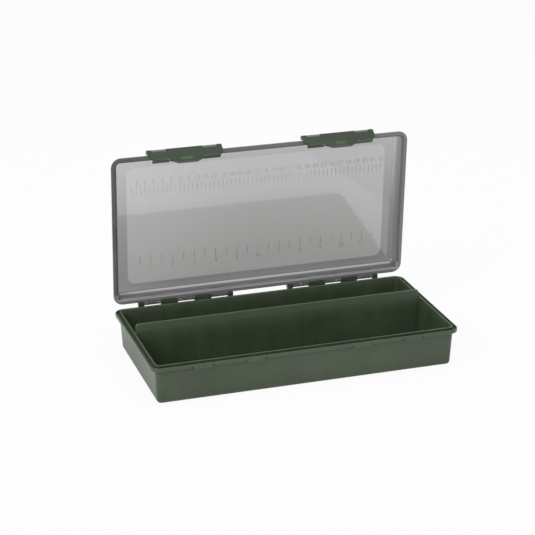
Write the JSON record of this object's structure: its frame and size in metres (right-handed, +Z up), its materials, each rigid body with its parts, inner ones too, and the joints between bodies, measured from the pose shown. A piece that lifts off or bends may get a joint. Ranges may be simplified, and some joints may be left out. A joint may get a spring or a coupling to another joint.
{
  "type": "tackle box",
  "caption": "Flat rectangular tackle box with an olive tray, a lengthwise divider, a clear grey hinged lid with a ruler and snap latches.",
  "frame": {"origin": "centre of the tray's flat underside", "axes": "+X along the box to the viewer's right, +Y from the latch side to the hinge side, +Z up"},
  "size_m": [0.348, 0.1915, 0.2289],
  "materials": {
    "tray_olive": "moulded satin",
    "divider_olive": "moulded satin",
    "lid_smoke": "clear smoke grey, glossy",
    "latch_olive": "moulded satin",
    "pin_steel": "drawn wire"
  },
  "bodies": {
    "tray_body": {"base_tray": "tray_olive", "hinge_pin_left": "pin_steel", "hinge_pin_right": "pin_steel"},
    "lid_body": {"lid": "lid_smoke", "latch_pin_left": "pin_steel", "latch_pin_right": "pin_steel"},
    "latch_left_body": {"latch_left": "latch_olive"},
    "latch_right_body": {"latch_right": "latch_olive"},
    "divider_body": {"divider": "divider_olive"}
  },
  "joints": [
    {"name": "lid_hinge", "type": "hinge", "parent": "tray_body", "child": "lid_body", "pos_m": [0, 0.09, 0.047], "axis": [-1, 0, 0], "range_deg": [-86, 0]},
    {"name": "latch_left_swing", "type": "hinge", "parent": "lid_body", "child": "latch_left_body", "pos_m": [-0.0896, 0.08046, 0.22637], "axis": [-1, 0, 0], "range_deg": [0, 110]},
    {"name": "latch_right_swing", "type": "hinge", "parent": "lid_body", "child": "latch_right_body", "pos_m": [0.0896, 0.08046, 0.22637], "axis": [-1, 0, 0], "range_deg": [0, 110]},
    {"name": "divider_lift", "type": "slide", "parent": "tray_body", "child": "divider_body", "axis": [0, 0, 1], "range_m": [0, 0.065]}
  ],
  "couplings": [
    {"joint": "latch_left_swing", "follows": "lid_hinge", "ratio": -0.32513},
    {"joint": "latch_right_swing", "follows": "lid_hinge", "ratio": -0.32513}
  ]
}
